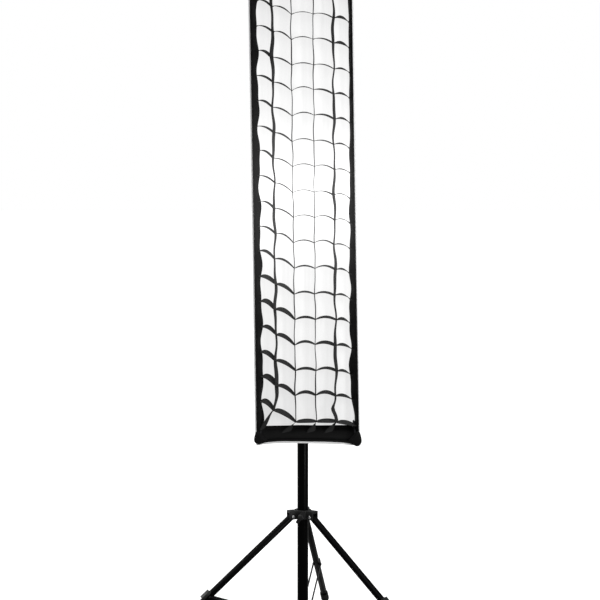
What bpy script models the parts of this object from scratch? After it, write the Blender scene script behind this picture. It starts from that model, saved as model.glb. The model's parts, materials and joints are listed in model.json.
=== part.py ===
"""Strip softbox with a fabric grid, on a light head and a three-legged stand.

Metres, +Z up, the box faces -Y. Every piece hangs from empties that stand on its joint's axis, and
the whole hangs from one empty at the foot of the mast.
"""

import math

import bmesh
import bpy
from mathutils import Vector

# ---------------------------------------------------------------- driving dimensions
MAST_X = 0.0373  # the mast's place, which centres the whole object's box on the origin
MAST_Y = 0.0318
GAP = 0.0003  # between pieces that touch

# stand tubes
BASE_R = 0.0175
BASE_BORE = 0.016
BASE_FOOT_Z = 0.045
BASE_TOP_Z = 0.800
MID_R = 0.015
MID_BORE = 0.0137
MID_FOOT_Z = 0.310
MID_TOP_Z = 1.040
TOP_R = 0.0125
TOP_BORE = 0.0112
TOP_FOOT_Z = 0.550
TOP_TOP_Z = 1.225

# legs and braces
LEG_AZIMUTHS = (200.5, 322.5, 81.0)
LEG_R = 0.011
LEG_BORE = 0.0098
PIN_RING_R = 0.037  # how far the leg and brace pins stand from the mast's axis
LEG_PIN_Z = 0.4135
BRACE_PIN_Z = 0.082
LEG_LINK = 0.366  # leg pin to brace joint
BRACE_LINK = 0.2985  # brace pin to brace joint
PIN_R = 0.003
BAR_WIDTH = 0.014
BAR_THICK = 0.0022
BAR_OFFSET = 0.0127  # a brace bar's middle from the leg's plane
FOOT_R = 0.014
FOOT_FLAT = 0.001  # how much of the foot's ball is flattened on the floor

LINK_RISE = LEG_PIN_Z - BRACE_PIN_Z
LEG_ANGLE = math.acos((LEG_LINK**2 + LINK_RISE**2 - BRACE_LINK**2) / (2 * LEG_LINK * LINK_RISE))
BRACE_ANGLE = math.asin((LINK_RISE - LEG_LINK * math.cos(LEG_ANGLE)) / BRACE_LINK)
LEG_REACH = (LEG_PIN_Z - FOOT_R + FOOT_FLAT) / math.cos(LEG_ANGLE)  # leg pin to the foot's ball

# leg collar
COLLAR_R = 0.027
COLLAR_LOW = 0.405
COLLAR_HIGH = 0.4325
EAR_END = 0.050
EAR_HALF = 0.0145
EAR_SLOT = 0.0116
COLLAR_KNOB_AZIMUTH = 261.5
COLLAR_KNOB_Z = 0.416

# light head
HEAD_Z = 1.435
TILT_Z = 1.338
HOUSING_R = 0.060
HOUSING_BORE = 0.057
HOUSING_FRONT = -0.148
HOUSING_BACK = 0.138
RING_FRONT = HOUSING_FRONT - 0.018  # the mount ring's front, where the softbox's insert stands
INSERT_R = 0.066  # the round of the insert that the rod holder turns on
INSERT_FLANGE = 0.008
RECEIVER_R = 0.017
RECEIVER_LOW = 1.258
RECEIVER_HIGH = 1.310
SPIGOT_R = 0.008
RECEIVER_KNOB_Z = 1.275
TONGUE_HALF = 0.008
BOLT_R = 0.004
BOLT_HOLE_R = BOLT_R + GAP

# softbox
SHELL_THICK = 0.002
SHELL_FRONT = -0.578
SHELL_BACK = -0.186
FRONT_HALF = (0.145, 0.695)  # half width and half height of the shell at its front
BACK_HALF = (0.082, 0.082)
BINDING_FRONT = -0.580
BINDING_BACK = -0.5715
BINDING_OUTER = (0.150, 0.700)
DIFFUSER_Y = -0.554
DIFFUSER_THICK = 0.001
BAFFLE_Y = -0.385
GRID_FRONT = -0.5785
GRID_BACK = -0.5565
GRID_HALF = (0.1386, 0.6541)
GRID_COLUMN = 0.058
GRID_ROW = 0.072
GRID_ROWS = 18
GRID_LOW_ROW = -0.630  # the lowest row sits just above the rim
GRID_STRIP = 0.0012
CORNER_CUT = 0.028  # the panels' corners are cut off, to let the rods pass
GRID_CORNER_IN = 0.013  # and the grid's corners drawn in
ROD_R = 0.003
ROD_FOOT = (0.056, -0.186, 0.050)
ROD_TIP = (0.1385, -0.586, 0.6905)
POCKET_FRONT = -0.592
POCKET_BACK = -0.5805
POCKET_OUTER = (0.154, 0.704)
BOX_LEAN = math.radians(-0.92)  # the box is set a touch out of plumb on its ring


# ---------------------------------------------------------------- materials
def material(name, colour, roughness, metallic=0.0):
    made = bpy.data.materials.new(name)
    made.use_nodes = True
    shader = made.node_tree.nodes["Principled BSDF"]
    shader.inputs["Base Color"].default_value = (*colour, 1.0)
    shader.inputs["Roughness"].default_value = roughness
    shader.inputs["Metallic"].default_value = metallic
    return made


def make_materials():
    return {
        "black_metal": material("black_metal", (0.012, 0.012, 0.014), 0.35, 0.6),
        "black_plastic": material("black_plastic", (0.02, 0.02, 0.022), 0.5),
        "rubber": material("rubber", (0.015, 0.015, 0.015), 0.8),
        "steel": material("steel", (0.55, 0.55, 0.56), 0.3, 1.0),
        "black_fabric": material("black_fabric", (0.015, 0.015, 0.016), 0.85),
        "white_fabric": material("white_fabric", (0.9, 0.9, 0.9), 0.8),
        "binding": material("binding", (0.62, 0.62, 0.63), 0.7),
        "glass": material("glass", (0.9, 0.92, 0.94), 0.1),
        "lamp": material("lamp", (0.95, 0.93, 0.88), 0.2),
    }


# ---------------------------------------------------------------- building blocks
def collection(name):
    made = bpy.data.collections.new(name)
    bpy.context.scene.collection.children.link(made)
    return made


def place(obj, parent, location, rotation):
    obj.parent = parent
    obj.location = location
    obj.rotation_euler = rotation
    return obj


def empty(name, parent, location=(0, 0, 0), rotation=(0, 0, 0)):
    made = bpy.data.objects.new(name, None)
    made.empty_display_size = 0.03
    PARTS.objects.link(made)
    return place(made, parent, location, rotation)


def solid(name, mesh, finish, parent, location=(0, 0, 0), rotation=(0, 0, 0)):
    """One object from a mesh; without a finish it is a cutter, which isn't shown."""
    made = bpy.data.objects.new(name, mesh)
    if finish is None:
        CUTTERS.objects.link(made)
        made.hide_render = True
        made.display_type = "WIRE"
    else:
        PARTS.objects.link(made)
        mesh.materials.append(FINISHES[finish])
        mesh.shade_smooth()
        mesh.set_sharp_from_angle(angle=math.radians(35))
    return place(made, parent, location, rotation)


def box(name, low, high, finish, parent, bevel=0.0, **at):
    """A box between two corners, with its edges rounded by bevel."""
    cage = bmesh.new()
    bmesh.ops.create_cube(cage, size=1.0)
    middle = (Vector(low) + Vector(high)) / 2
    size = Vector(high) - Vector(low)
    bmesh.ops.scale(cage, vec=size, verts=cage.verts)
    bmesh.ops.translate(cage, vec=middle, verts=cage.verts)
    mesh = bpy.data.meshes.new(name)
    cage.to_mesh(mesh)
    cage.free()
    made = solid(name, mesh, finish, parent, **at)
    if bevel:
        rounding = made.modifiers.new("edges", "BEVEL")
        rounding.width = bevel
        rounding.segments = 2
    return made


def cylinder(name, radius, low, high, finish, parent, sides=16, **at):
    """A round bar along local Z."""
    cage = bmesh.new()
    bmesh.ops.create_cone(
        cage, cap_ends=True, segments=sides, radius1=radius, radius2=radius, depth=high - low
    )
    bmesh.ops.translate(cage, vec=(0, 0, (low + high) / 2), verts=cage.verts)
    mesh = bpy.data.meshes.new(name)
    cage.to_mesh(mesh)
    cage.free()
    return solid(name, mesh, finish, parent, **at)


def turned(name, profile, finish, parent, steps=24, ring=False, **at):
    """A profile of (radius, height) points, run down its outer side, turned about local Z."""
    edges = [(i, i + 1) for i in range(len(profile) - 1)]
    if ring:
        edges.append((len(profile) - 1, 0))
    mesh = bpy.data.meshes.new(name)
    mesh.from_pydata([(r, 0.0, z) for r, z in profile], edges, [])
    made = solid(name, mesh, finish, parent, **at)
    screw = made.modifiers.new("turn", "SCREW")
    screw.steps = steps
    screw.render_steps = steps
    screw.use_merge_vertices = True
    screw.merge_threshold = 0.00001
    screw.use_smooth_shade = True
    return made


def sleeve(name, outer, inner, low, high, finish, parent, steps=24, **at):
    """A plain tube along local Z."""
    profile = [(outer, high), (outer, low), (inner, low), (inner, high)]
    return turned(name, profile, finish, parent, steps, True, **at)


def prism(name, outlines, thick, finish, parent, **at):
    """Flat outlines in local XY, the later ones being holes in the first, thick along local Z."""
    curve = bpy.data.curves.new(name, "CURVE")
    curve.dimensions = "2D"
    curve.fill_mode = "BOTH"
    curve.extrude = thick / 2
    for outline in outlines:
        spline = curve.splines.new("POLY")
        spline.points.add(len(outline) - 1)
        for point, (x, y) in zip(spline.points, outline):
            point.co = (x, y, 0.0, 1.0)
        spline.use_cyclic_u = True
    flat = bpy.data.objects.new(name + "_outline", curve)
    CUTTERS.objects.link(flat)
    shown = flat.evaluated_get(bpy.context.evaluated_depsgraph_get())
    mesh = bpy.data.meshes.new_from_object(shown)
    bpy.data.objects.remove(flat, do_unlink=True)
    cage = bmesh.new()
    cage.from_mesh(mesh)
    bmesh.ops.remove_doubles(cage, verts=cage.verts, dist=0.00001)
    bmesh.ops.recalc_face_normals(cage, faces=cage.faces)
    cage.to_mesh(mesh)
    cage.free()
    mesh.materials.clear()
    return solid(name, mesh, finish, parent, **at)


def arc(centre, radius, start, end, steps):
    """Points along an arc, from one angle to another, in degrees."""
    angles = [math.radians(start + (end - start) * i / steps) for i in range(steps + 1)]
    return [(centre[0] + radius * math.cos(a), centre[1] + radius * math.sin(a)) for a in angles]


def stadium(first, last, half):
    """The outline of a straight bar with round ends, between two points on local X."""
    return arc((last, 0), half, -90, 90, 6) + arc((first, 0), half, 90, 270, 6)


def combine(target, tool, operation):
    step = target.modifiers.new(tool.name, "BOOLEAN")
    step.operation = operation
    step.object = tool
    step.solver = "EXACT"


def join(target, *tools):
    for tool in tools:
        combine(target, tool, "UNION")


def cut(target, *tools):
    for tool in tools:
        combine(target, tool, "DIFFERENCE")


# rotations that turn local Z to another axis
ALONG_X = (0, math.radians(90), 0)
ALONG_Y = (math.radians(-90), 0, 0)
FACING = (math.radians(90), 0, 0)  # a flat outline's XY becomes XZ


def facing_prism(name, outlines, front, back, finish, parent):
    """A flat panel that stands across Y between two depths, drawn in XZ."""
    middle = (0, (front + back) / 2, 0)
    return prism(name, outlines, back - front, finish, parent, location=middle, rotation=FACING)


# ---------------------------------------------------------------- knobs
def wing_knob(name, parent, azimuth, radius, height, hold, turn):
    """A wing screw pointing out from the mast; hold is how deep its screw goes in, turn the wings'."""
    angle = math.radians(azimuth)
    place_on_ring = (radius * math.cos(angle), radius * math.sin(angle), height)
    axis = empty(name + "_axis", parent, place_on_ring, (0, math.radians(90), angle))
    profile = [
        (0, 0.016),
        (0.006, 0.016),
        (0.009, 0.013),
        (0.010, 0.0),
        (BOLT_R, 0.0),
        (BOLT_R, -hold),
        (0, -hold),
    ]
    knob = turned(name, profile, "black_plastic", axis, 14)
    wings = prism(
        name + "_wings",
        [stadium(-0.018, 0.018, 0.0055)],
        0.007,
        None,
        axis,
        location=(0, 0, 0.007),
        rotation=(0, 0, turn),
    )
    join(knob, wings)
    return knob


def knob_boss(name, target, parent, azimuth, inner, outer, height, hole_from, radius=0.0095):
    """A boss on a collar with the hole that the wing screw goes into."""
    turn = (0, math.radians(90), math.radians(azimuth))
    at = {"location": (0, 0, height), "rotation": turn}
    boss = cylinder(name + "_boss", radius, inner, outer, None, parent, **at)
    hole = cylinder(name + "_hole", BOLT_HOLE_R, hole_from, outer + 0.01, None, parent, 12, **at)
    join(target, boss)
    cut(target, hole)


# ---------------------------------------------------------------- stand: tubes
def lock_collar(name, parent, lower_r, upper_r, outer_r, tube_top, azimuth):
    """The collar on a tube's top: it grips the tube below and lets the next one slide."""
    low = tube_top - 0.015
    high = tube_top + 0.040
    step = tube_top + GAP
    profile = [
        (outer_r - 0.002, high),
        (outer_r, high - 0.003),
        (outer_r, low),
        (lower_r + GAP, low),
        (lower_r + GAP, step),
        (upper_r + GAP, step),
        (upper_r + GAP, high),
    ]
    collar = turned(name, profile, "black_plastic", parent, 24, True)
    knob_z = tube_top + 0.018
    boss_end = outer_r + 0.010
    knob_boss(name, collar, parent, azimuth, outer_r - 0.002, boss_end, knob_z, upper_r + 0.001)
    knob_name = name.replace("collar", "knob")
    hold = boss_end - upper_r - 0.0015
    wing_knob(knob_name, parent, azimuth, boss_end + GAP, knob_z, hold, math.radians(20))


def stand_tubes(root):
    sleeve("base_tube", BASE_R, BASE_BORE, BASE_FOOT_Z, BASE_TOP_Z, "black_metal", root, 36)
    lock_collar("base_lock_collar", root, BASE_R, MID_R, 0.0235, BASE_TOP_Z, 20.0)
    middle = empty("middle_stage", root)
    sleeve("mid_tube", MID_R, MID_BORE, MID_FOOT_Z, MID_TOP_Z, "black_metal", middle)
    lock_collar("mid_lock_collar", middle, MID_R, TOP_R, 0.0205, MID_TOP_Z, 20.0)
    top = empty("top_stage", middle)
    sleeve("top_tube", TOP_R, TOP_BORE, TOP_FOOT_Z, TOP_TOP_Z, "black_metal", top)
    spigot(top)
    return top


def spigot(top):
    """The 16 mm spigot that light heads clamp on, with its groove, plugged into the top tube."""
    plug_r = TOP_BORE - GAP
    flange = TOP_TOP_Z + GAP
    profile = [
        (0, 1.298),
        (SPIGOT_R - 0.0015, 1.298),
        (SPIGOT_R, 1.2965),
        (SPIGOT_R, 1.281),
        (SPIGOT_R - 0.0015, 1.280),
        (SPIGOT_R - 0.0015, 1.270),
        (SPIGOT_R, 1.269),
        (SPIGOT_R, 1.233),
        (TOP_R, 1.233),
        (TOP_R, flange),
        (plug_r, flange),
        (plug_r, TOP_TOP_Z - 0.025),
        (0, TOP_TOP_Z - 0.025),
    ]
    turned("spigot", profile, "steel", top, 16)


# ---------------------------------------------------------------- stand: collars, legs, braces
def ray(name, parent, azimuth, height):
    """An empty on the mast's axis whose local X points along a leg's azimuth."""
    return empty(name, parent, (0, 0, height), (0, 0, math.radians(azimuth)))


def lower_collar(root):
    """A cup on the mast's foot, with an ear for each brace."""
    profile = [(0, 0.102), (0.023, 0.102), (0.025, 0.100), (0.025, 0.042), (0.023, 0.040), (0, 0.040)]
    collar = turned("lower_collar", profile, "black_plastic", root)
    for number, azimuth in enumerate(LEG_AZIMUTHS, 1):
        spoke = ray(f"brace_ear_{number}_axis", root, azimuth, BRACE_PIN_Z)
        ear = prism(
            f"brace_ear_{number}",
            [[(0.015, 0.012), *reversed(arc((PIN_RING_R, 0), 0.010, -90, 90, 6)), (0.015, -0.014)]],
            0.020,
            None,
            spoke,
            rotation=FACING,
        )
        hole = cylinder(
            f"brace_ear_hole_{number}", PIN_R + GAP, -0.012, 0.012, None, spoke, 12,
            location=(PIN_RING_R, 0, 0), rotation=ALONG_Y,
        )
        join(collar, ear)
        cut(collar, hole)
    cut(collar, cylinder("mast_seat", BASE_R + GAP, BASE_FOOT_Z - GAP, 0.12, None, root, 36))


def leg_collar(spider):
    """The sliding collar: a ring with three forks that hold the legs, and its clamp knob."""
    ring = [
        (0, COLLAR_HIGH),
        (COLLAR_R - 0.001, COLLAR_HIGH),
        (COLLAR_R, COLLAR_HIGH - 0.001),
        (COLLAR_R, COLLAR_LOW + 0.001),
        (COLLAR_R - 0.001, COLLAR_LOW),
        (0, COLLAR_LOW),
    ]
    collar = turned("leg_collar", ring, "black_plastic", spider, 28)
    ears = []
    slots = []
    for number, azimuth in enumerate(LEG_AZIMUTHS, 1):
        spoke = ray(f"ear_{number}_axis", spider, azimuth, 0)
        low = (0.010, -EAR_HALF, COLLAR_LOW - 0.0002)
        high = (EAR_END, EAR_HALF, COLLAR_HIGH - 0.0008)
        ears.append(box(f"ear_{number}", low, high, None, spoke, 0.0015))
        roof = LEG_PIN_Z + LEG_R + 0.0006
        low = (0.0255, -EAR_SLOT, COLLAR_LOW - 0.01)
        slots.append(box(f"ear_slot_{number}", low, (0.07, EAR_SLOT, roof), None, spoke))
        slots.append(
            cylinder(
                f"ear_hole_{number}", PIN_R + GAP, -0.02, 0.02, None, spoke, 12,
                location=(PIN_RING_R, 0, LEG_PIN_Z), rotation=ALONG_Y,
            )
        )
        leg_pin(number, spoke)
    join(collar, *ears)
    cut(collar, *slots)
    boss_end = 0.036
    hold_to = BASE_R + 0.0025
    args = (COLLAR_KNOB_AZIMUTH, 0.020, boss_end, COLLAR_KNOB_Z, hold_to)
    knob_boss("leg_collar", collar, spider, *args)
    cut(collar, cylinder("collar_bore", BASE_R + GAP, 0.35, 0.45, None, spider, 36))
    hold = boss_end - hold_to - 0.001
    args = (COLLAR_KNOB_AZIMUTH, boss_end + GAP, COLLAR_KNOB_Z, hold, math.radians(-35))
    wing_knob("leg_collar_knob", spider, *args)


def leg_pin(number, spoke):
    """The rivet that a leg turns on."""
    inner = EAR_HALF + GAP
    outer = inner + 0.0016
    profile = [
        (0, outer),
        (0.004, outer),
        (0.005, inner + 0.0005),
        (0.005, inner),
        (PIN_R, inner),
        (PIN_R, -inner),
        (0.005, -inner),
        (0.005, -inner - 0.0005),
        (0.004, -outer),
        (0, -outer),
    ]
    at = {"location": (PIN_RING_R, 0, LEG_PIN_Z), "rotation": ALONG_Y}
    turned(f"leg_pin_{number}", profile, "steel", spoke, 12, **at)


def leg(number, azimuth, spider, floor):
    """One leg with its brace clip and its foot; local -Z runs down the leg."""
    turn = math.radians(azimuth)
    pin = (PIN_RING_R * math.cos(turn), PIN_RING_R * math.sin(turn), LEG_PIN_Z)
    axis = empty(f"leg_{number}_axis", spider, pin, (0, -LEG_ANGLE, turn))
    tube_end = -(LEG_REACH - 0.004)
    top = [(x, z) for z, x in arc((0, 0), LEG_R, 0, 90, 4)]
    profile = top + [(LEG_R, tube_end), (LEG_BORE, tube_end), (LEG_BORE, -0.02), (0, -0.02)]
    tube = turned(f"leg_{number}", profile, "black_metal", axis, 20)
    hole = cylinder(f"leg_hole_{number}", PIN_R + GAP, -0.02, 0.02, None, axis, 12, rotation=ALONG_Y)
    cut(tube, hole)
    leg_clip(number, axis)
    foot(number, axis, floor)


def leg_clip(number, axis):
    """The saddle on the leg's outer side at the brace joint, between the brace's bars."""
    low = (0.006, -0.0112, -LEG_LINK - 0.016)
    high = (0.0155, 0.0112, -LEG_LINK + 0.016)
    clip = box(f"leg_clip_{number}", low, high, "black_plastic", axis, 0.001)
    bed = (-LEG_LINK - 0.03, -LEG_LINK + 0.03)
    cut(clip, cylinder(f"clip_bed_{number}", LEG_R + GAP, *bed, None, axis, 24))


def foot(number, axis, floor):
    """A rubber cap whose ball stands flat on the floor."""
    ball = [(x, y) for x, y in arc((0, 0), FOOT_R, -24, -68, 2)]
    cup = LEG_R + GAP
    seat = 0.004 - GAP
    profile = [
        (0, seat),
        (cup, seat),
        (cup, 0.042),
        (FOOT_R - 0.001, 0.042),
        (FOOT_R, 0.040),
        (FOOT_R, 0.0),
        *ball,
        (0, -FOOT_R),
    ]
    at = {"location": (0, 0, -LEG_REACH)}
    cap = turned(f"foot_{number}", profile, "rubber", axis, 20, **at)
    cut(cap, floor)


def brace(number, azimuth, root):
    """Two flat bars on one pin through the lower collar's ear; local X runs out to the leg."""
    turn = math.radians(azimuth)
    pin = (PIN_RING_R * math.cos(turn), PIN_RING_R * math.sin(turn), BRACE_PIN_Z)
    axis = empty(f"brace_{number}_axis", root, pin, (0, -BRACE_ANGLE, turn))
    bars = []
    for side in (-1, 1):
        finish = "black_metal" if side < 0 else None
        name = f"brace_{number}" if side < 0 else f"brace_far_bar_{number}"
        outline = [stadium(0, BRACE_LINK, BAR_WIDTH / 2)]
        at = {"location": (0, side * BAR_OFFSET, 0), "rotation": FACING}
        bars.append(prism(name, outline, BAR_THICK, finish, axis, **at))
    reach = BAR_OFFSET + BAR_THICK / 2 + 0.0016
    pivot = cylinder(f"brace_pin_{number}", PIN_R, -reach, reach, None, axis, 12, rotation=ALONG_Y)
    join(bars[0], bars[1], pivot)
    for side in (-1, 1):
        ends = sorted((side * (BAR_OFFSET + 0.0003), side * reach))
        head = cylinder(
            f"brace_rivet_{number}_{side}", 0.0045, *ends, None, axis, 12,
            location=(BRACE_LINK, 0, 0), rotation=ALONG_Y,
        )
        join(bars[0], head)


def stand(root):
    spider = empty("leg_collar_slide", root)
    lower_collar(root)
    leg_collar(spider)
    floor = box("floor", (-1, -1, -0.1), (1, 1, 0), None, root)
    for number, azimuth in enumerate(LEG_AZIMUTHS, 1):
        leg(number, azimuth, spider, floor)
        brace(number, azimuth, root)
    return stand_tubes(root)


# ---------------------------------------------------------------- light head
def receiver(pan):
    """The socket over the spigot, with the tongue that the head tilts on."""
    profile = [
        (0, RECEIVER_HIGH),
        (RECEIVER_R, RECEIVER_HIGH),
        (RECEIVER_R, RECEIVER_LOW + 0.001),
        (RECEIVER_R - 0.001, RECEIVER_LOW),
        (0, RECEIVER_LOW),
    ]
    body = turned("receiver", profile, "black_metal", pan, 20)
    outline = [(-0.015, -0.033), (0.015, -0.033), *arc((0, 0), 0.015, 0, 180, 10)]
    at = {"location": (0, 0, TILT_Z), "rotation": (math.radians(90), 0, math.radians(90))}
    tongue = prism("tongue", [outline], 2 * TONGUE_HALF, None, pan, **at)
    bore = cylinder("spigot_bore", SPIGOT_R + GAP, 1.24, 1.302, None, pan, 16)
    bolt = {"location": (0, 0, TILT_Z), "rotation": ALONG_X}
    join(body, tongue)
    cut(body, bore, cylinder("tongue_hole", BOLT_HOLE_R, -0.02, 0.02, None, pan, 12, **bolt))
    boss_end = RECEIVER_R + 0.011
    knob_boss("receiver", body, pan, 180.0, 0.013, boss_end, RECEIVER_KNOB_Z, 0.002)
    hold = boss_end - 0.0075
    wing_knob("receiver_knob", pan, 180.0, boss_end + GAP, RECEIVER_KNOB_Z, hold, math.radians(60))


def tilt_block(head):
    """The saddle under the housing, with two cheeks beside the receiver's tongue."""
    low = (-0.024, -0.032, TILT_Z + 0.024 - HEAD_Z)
    high = (0.024, 0.032, low[2] + 0.023)
    block = box("tilt_block", low, high, "black_metal", head, 0.002)
    inner = TONGUE_HALF + GAP
    outer = 0.0153
    drop = TILT_Z - HEAD_Z
    for side in (-1, 1):
        outline = [(-0.016, 0.028), *arc((0, 0), 0.016, 180, 360, 10), (0.016, 0.028)]
        at = {
            "location": (side * (inner + outer) / 2, 0, drop),
            "rotation": (math.radians(90), 0, math.radians(90)),
        }
        join(block, prism(f"cheek_{side}", [outline], outer - inner, None, head, **at))
    bolt = {"location": (0, 0, drop), "rotation": ALONG_X}
    cut(block, cylinder("cheek_hole", BOLT_HOLE_R, -0.03, 0.03, None, head, 12, **bolt))
    bed = (HOUSING_FRONT, HOUSING_BACK)
    cut(block, cylinder("housing_bed", HOUSING_R + GAP, *bed, None, head, 36, rotation=ALONG_Y))


def tilt_lever(head):
    """The tilt bolt with its nut and its clamp lever, along X."""
    axis = empty("tilt_lever_axis", head, (0, 0, TILT_Z - HEAD_Z), ALONG_X)
    face = 0.0153 + GAP
    profile = [
        (0, face + 0.014),
        (0.007, face + 0.014),
        (0.009, face + 0.011),
        (0.009, face),
        (BOLT_R, face),
        (BOLT_R, -face),
        (0.0075, -face),
        (0.0075, -face - 0.006),
        (0, -face - 0.006),
    ]
    lever = turned("tilt_lever", profile, "black_plastic", axis, 14)
    at = {"location": (0, 0, face + 0.008), "rotation": (0, 0, math.radians(35))}
    arm = prism("tilt_lever_arm", [stadium(0, 0.055, 0.006)], 0.006, None, axis, **at)
    join(lever, arm)


def housing(head):
    """The casing with its rear panel and its handle; local Z of the turned pieces is the box's Y."""
    args = (HOUSING_R, HOUSING_BORE, HOUSING_FRONT, HOUSING_BACK)
    sleeve("housing", *args, "black_plastic", head, 36, rotation=ALONG_Y)
    box("power_unit", (-0.036, -0.06, -0.036), (0.036, 0.11, 0.036), "black_metal", head, 0.002)
    handle = bpy.data.curves.new("carry_handle", "CURVE")
    handle.dimensions = "3D"
    handle.bevel_depth = 0.007
    handle.bevel_resolution = 2
    handle.use_fill_caps = True
    foot_z = HOUSING_R + 0.0005
    bend = 0.018
    points = [(-0.062, foot_z)]
    points += arc((-0.062 + bend, foot_z + 0.026), bend, 180, 90, 5)
    points += arc((0.062 - bend, foot_z + 0.026), bend, 90, 0, 5)
    points += [(0.062, foot_z)]
    line = handle.splines.new("POLY")
    line.points.add(len(points) - 1)
    for point, (y, z) in zip(line.points, points):
        point.co = (0, y, z, 1)
    made = bpy.data.objects.new("carry_handle", handle)
    handle.materials.append(FINISHES["rubber"])
    PARTS.objects.link(made)
    place(made, head, (0, 0, 0), (0, 0, 0))


def rear_panel(head):
    """The rear panel with a dial, a rocker switch and the mains inlet."""
    face = HOUSING_BACK + 0.0085
    plug_r = HOUSING_BORE - 0.0004
    profile = [
        (0, face),
        (HOUSING_R - 0.002, face),
        (HOUSING_R, face - 0.002),
        (HOUSING_R, HOUSING_BACK + GAP),
        (plug_r, HOUSING_BACK + GAP),
        (plug_r, HOUSING_BACK - 0.010),
        (0, HOUSING_BACK - 0.010),
    ]
    panel = turned("rear_panel", profile, "black_plastic", head, 36, rotation=ALONG_Y)
    dial_axis = empty("power_dial_axis", head, (0, face, 0.020), ALONG_Y)
    shaft_hole = cylinder("dial_hole", BOLT_HOLE_R, -0.03, 0.01, None, dial_axis, 12)
    profile = [
        (0, 0.018),
        (0.013, 0.018),
        (0.0145, 0.016),
        (0.016, 0.0005),
        (BOLT_R, 0.0005),
        (BOLT_R, -0.014),
        (0, -0.014),
    ]
    dial = turned("power_dial", profile, "black_plastic", dial_axis, 20)
    cut(dial, box("dial_mark", (0.006, -0.001, 0.0172), (0.02, 0.001, 0.03), None, dial_axis))
    slot = box("switch_slot", (-0.0115, -0.03, -0.0085), (0.0115, 0.02, 0.0085), None, head)
    slot.location = (-0.025, face, -0.018)
    hinge = empty("power_switch_axis", head, (-0.025, face - 0.0035, -0.018))
    box("power_switch", (-0.0108, -0.0045, -0.0073), (0.0108, 0.005, 0.0073), "black_plastic", hinge, 0.001)
    well = box("inlet_slot", (-0.0145, -0.03, -0.011), (0.0145, 0.02, 0.011), None, head)
    well.location = (0.024, face, -0.018)
    cut(panel, shaft_hole, slot, well)
    inlet = box("mains_inlet", (-0.0141, -0.026, -0.0106), (0.0141, 0.001, 0.0106), "black_plastic", head)
    inlet.location = (0.024, face, -0.018)
    socket = box("inlet_socket", (-0.0115, -0.016, -0.008), (0.0115, 0.02, 0.008), None, head)
    socket.location = (0.024, face, -0.018)
    cut(inlet, socket)


def front_end(head):
    """The mount ring, its latch and the lamp; the profiles' heights run along +Y."""
    ring = [
        (0.063, HOUSING_FRONT - GAP),
        (0.065, HOUSING_FRONT - 0.002),
        (0.065, RING_FRONT + 0.001),
        (0.064, RING_FRONT),
        (0.050, RING_FRONT),
        (0.050, HOUSING_FRONT - GAP),
    ]
    turned("front_mount_ring", ring, "steel", head, 32, True, rotation=ALONG_Y)
    latch_low = (-0.009, HOUSING_FRONT + 0.0005, HOUSING_R + 0.0005)
    latch_high = (0.009, HOUSING_FRONT + 0.024, HOUSING_R + 0.010)
    box("mount_latch", latch_low, latch_high, "black_plastic", head, 0.0015)
    plate = -0.098
    holder = (HOUSING_BORE - 0.0005, plate - 0.012, plate)
    cylinder("lamp_holder", *holder, "white_fabric", head, 24, rotation=ALONG_Y)
    seat = plate - 0.012 - GAP
    lamp = [
        (0, seat),
        (0.012, seat),
        (0.012, seat - 0.016),
        *[(0.016 * math.cos(a), seat - 0.032 - 0.018 * math.sin(a)) for a in (0, 0.5, 1.0)],
        (0, seat - 0.050),
    ]
    turned("flash_lamp", lamp, "lamp", head, 16, rotation=ALONG_Y)
    middle = -0.152
    outer = [(0.043 * math.cos(a), middle - 0.043 * math.sin(a)) for a in (0, 0.4, 0.8, 1.2)]
    inner = [(0.041 * math.cos(a), middle - 0.041 * math.sin(a)) for a in (1.2, 0.8, 0.4, 0)]
    dome = [(0.043, seat), *outer, (0, middle - 0.043), (0, middle - 0.041), *inner, (0.041, seat)]
    turned("glass_dome", dome, "glass", head, 20, True, rotation=ALONG_Y)


def light_head(top):
    """The head on the spigot: it pans with the receiver and tilts on the receiver's tongue."""
    pan = empty("head_pan", top)
    receiver(pan)
    tilt = empty("head_tilt", pan, (0, 0, TILT_Z))
    head = empty("head_axis", tilt, (0, 0, HEAD_Z - TILT_Z))
    tilt_block(head)
    tilt_lever(head)
    housing(head)
    rear_panel(head)
    front_end(head)
    return head


# ---------------------------------------------------------------- softbox
def shell_half(y):
    """Half width and half height of the shell's outside at a depth."""
    share = (y - SHELL_FRONT) / (SHELL_BACK - SHELL_FRONT)
    return [front + (back - front) * share for front, back in zip(FRONT_HALF, BACK_HALF)]


def mount_insert(head):
    """The ring that the head's claws hold and that the rod holder turns on."""
    back = RING_FRONT - GAP
    profile = [
        (0.0497, back + 0.014),
        (0.0497, back),
        (0.072, back),
        (0.072, back - INSERT_FLANGE),
        (INSERT_R, back - INSERT_FLANGE),
        (INSERT_R, -0.196),
        (0.046, -0.196),
        (0.046, back + 0.014),
    ]
    turned("mount_insert", profile, "steel", head, 32, True, rotation=ALONG_Y)


def rod_line(side_x, side_z):
    """A rod's foot and tip in the corner with these signs."""
    return tuple(Vector((side_x * x, y, side_z * z)) for x, y, z in (ROD_FOOT, ROD_TIP))


def along(foot_point, tip_point):
    """The rotation that turns local Z from one point towards another."""
    return (tip_point - foot_point).to_track_quat("Z", "Y").to_euler()


CORNERS = ((1, 1), (-1, 1), (-1, -1), (1, -1))


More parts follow.
